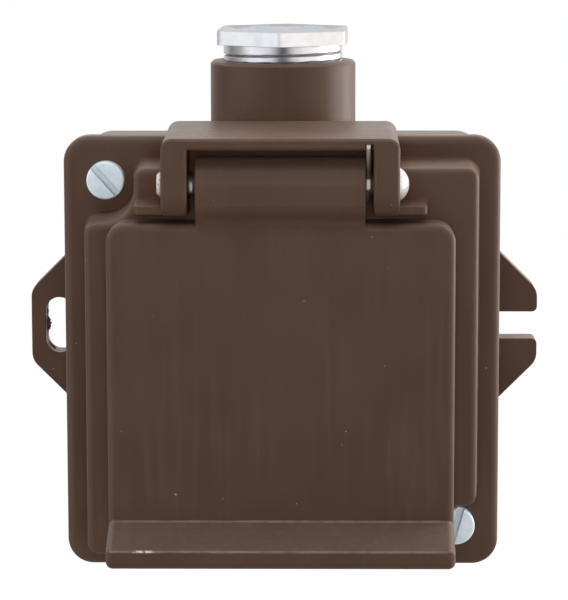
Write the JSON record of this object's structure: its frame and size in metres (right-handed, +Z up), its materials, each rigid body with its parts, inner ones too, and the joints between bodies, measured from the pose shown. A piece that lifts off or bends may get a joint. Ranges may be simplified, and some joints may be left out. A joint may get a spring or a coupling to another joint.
{
  "type": "weatherproof socket outlet",
  "caption": "Surface-mounted outdoor socket: moulded box with fixing lugs, cable gland on top, and a front cover with a sprung hinged lid over a round plug recess.",
  "frame": {"origin": "on the wall plane, at the middle of the box's back", "axes": "+X right as seen from the front, -Y out of the front, +Z up"},
  "size_m": [0.098, 0.06, 0.0991],
  "materials": {
    "brown_moulding": "satin thermoset moulding",
    "carrier_moulding": "matt",
    "black_rubber": "matt",
    "zinc_steel": "bright zinc plate",
    "nickel_plate": "bright nickel plate",
    "contact_brass": "plain"
  },
  "bodies": {
    "housing": {"base_box": "brown_moulding", "front_cover": "brown_moulding", "cover_gasket": "black_rubber", "cover_screws": "zinc_steel", "thread_inserts": "contact_brass", "hinge_pin": "zinc_steel", "hinge_spring": "zinc_steel", "gland_seal": "black_rubber", "socket_well": "brown_moulding", "well_seal": "black_rubber", "well_screw": "zinc_steel", "contact_carrier": "carrier_moulding", "carrier_screws": "zinc_steel", "left_contact": "contact_brass", "right_contact": "contact_brass", "terminal_screws": "zinc_steel", "earth_stirrup": "contact_brass", "earth_screw": "zinc_steel"},
    "lid": {"lid": "brown_moulding", "lid_gasket": "black_rubber"},
    "washer": {"gland_washer": "zinc_steel"},
    "nut": {"gland_nut": "nickel_plate"}
  },
  "joints": [
    {"name": "lid_hinge", "type": "hinge", "parent": "housing", "child": "lid", "pos_m": [0, -0.0494, 0.0332], "axis": [-1, 0, 0], "range_deg": [0, 110], "stiffness_Nm_per_rad": 0.01, "springref_deg": -57.3, "deforming": ["hinge_spring"]},
    {"name": "gland_slide", "type": "slide", "parent": "housing", "child": "washer", "axis": [0, 0, -1], "range_m": [0, 0.00283], "deforming": ["gland_seal"]},
    {"name": "gland_turn", "type": "hinge", "parent": "washer", "child": "nut", "pos_m": [0, -0.014, 0.053], "axis": [0, 0, -1], "range_deg": [0, 720]}
  ],
  "couplings": [
    {"joint": "gland_slide", "follows": "gland_turn", "m_per_rad": 0.00022441}
  ]
}
